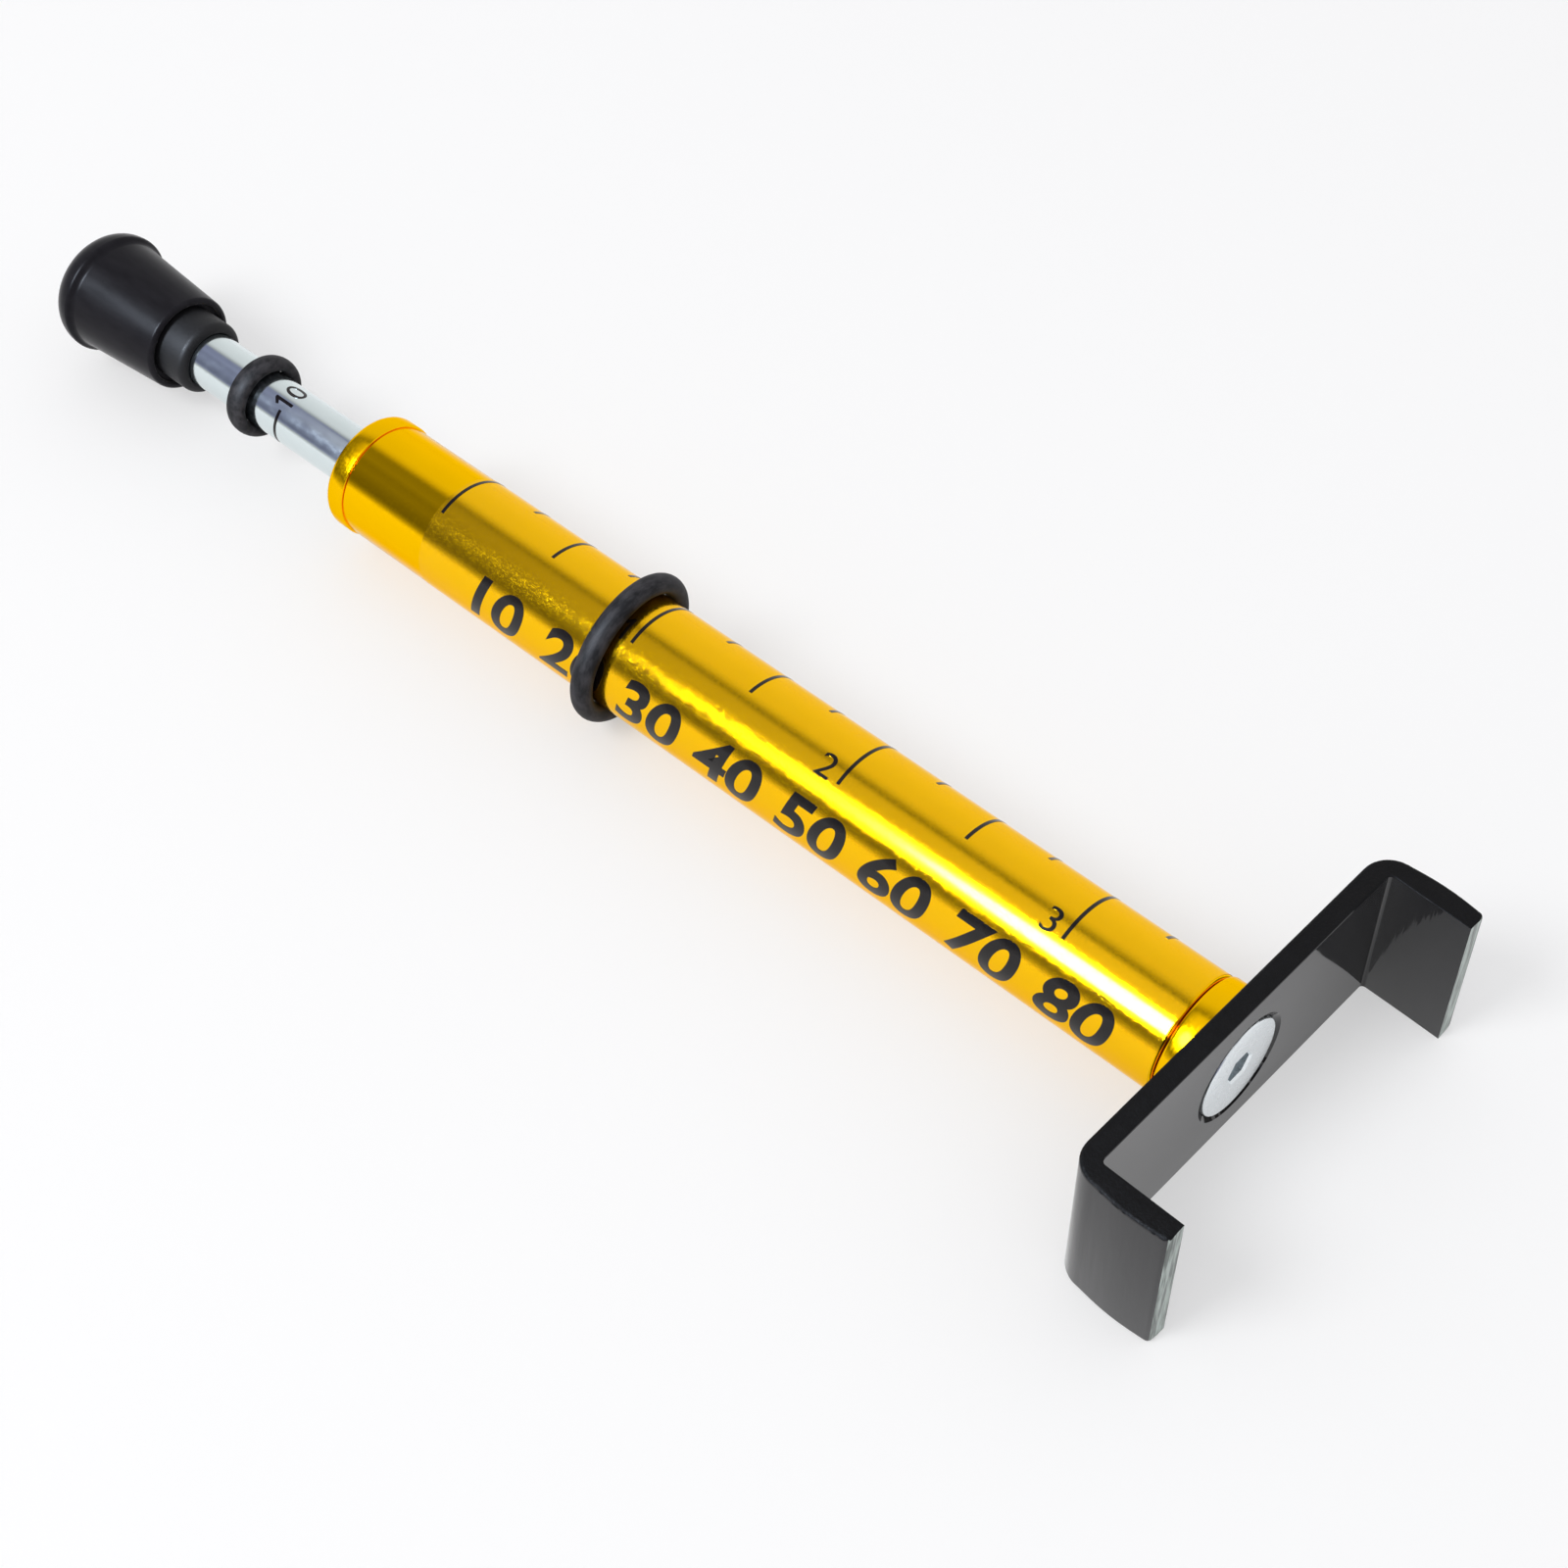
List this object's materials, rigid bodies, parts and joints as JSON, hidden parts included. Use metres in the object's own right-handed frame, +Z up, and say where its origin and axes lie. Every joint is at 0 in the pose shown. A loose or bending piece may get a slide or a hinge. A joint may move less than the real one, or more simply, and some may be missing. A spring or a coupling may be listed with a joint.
{
  "type": "belt tension gauge",
  "caption": "Pen-shaped belt tension gauge: spring plunger with grip, scaled barrel, two marker rings and a U-shaped belt cradle.",
  "frame": {"origin": "on the surface the gauge lies on, under the middle of its box", "axes": "+X along the barrel from the grip towards the belt cradle, +Y across the cradle, +Z up from the surface"},
  "size_m": [0.159, 0.043, 0.016],
  "materials": {
    "gold_anodised": "gold anodised, glossy, with a fine turned grain",
    "black_gloss": "glossy black",
    "polished_steel": "polished",
    "bright_zinc": "bright zinc",
    "black_rubber": "satin",
    "black_plastic": "satin",
    "bush_brass": "turned",
    "spring_steel": "drawn wire",
    "black_ink": "printed"
  },
  "bodies": {
    "barrel": {"barrel_tube": "gold_anodised", "rod_guide_cap": "gold_anodised", "rod_guide_bush": "bush_brass", "return_bumper": "black_rubber", "cradle_end_plug": "gold_anodised", "spring_seat_washer": "bright_zinc", "compression_spring": "spring_steel", "belt_cradle": "black_gloss", "cradle_screw": "bright_zinc"},
    "follower": {"spring_follower": "bright_zinc"},
    "plunger": {"plunger_rod": "polished_steel", "follower_clip": "spring_steel", "knob_core": "black_plastic", "grip_knob": "black_rubber"},
    "force_ring": {"rod_o_ring": "black_rubber"},
    "deflection_ring": {"barrel_o_ring": "black_rubber"}
  },
  "joints": [
    {"name": "plunger_slide", "type": "slide", "parent": "barrel", "child": "follower", "axis": [1, 0, 0], "range_m": [0, 0.0145], "stiffness_N_per_m": 3900, "springref_m": -0.0005, "deforming": ["compression_spring"]},
    {"name": "plunger_spin", "type": "hinge", "parent": "follower", "child": "plunger", "pos_m": [0, 0, 0.008], "axis": [1, 0, 0], "continuous": true},
    {"name": "force_ring_slide", "type": "slide", "parent": "plunger", "child": "force_ring", "axis": [1, 0, 0], "range_m": [-0.0068, 0.0003]},
    {"name": "deflection_ring_slide", "type": "slide", "parent": "barrel", "child": "deflection_ring", "axis": [1, 0, 0], "range_m": [-0.0323, 0.0652]}
  ]
}
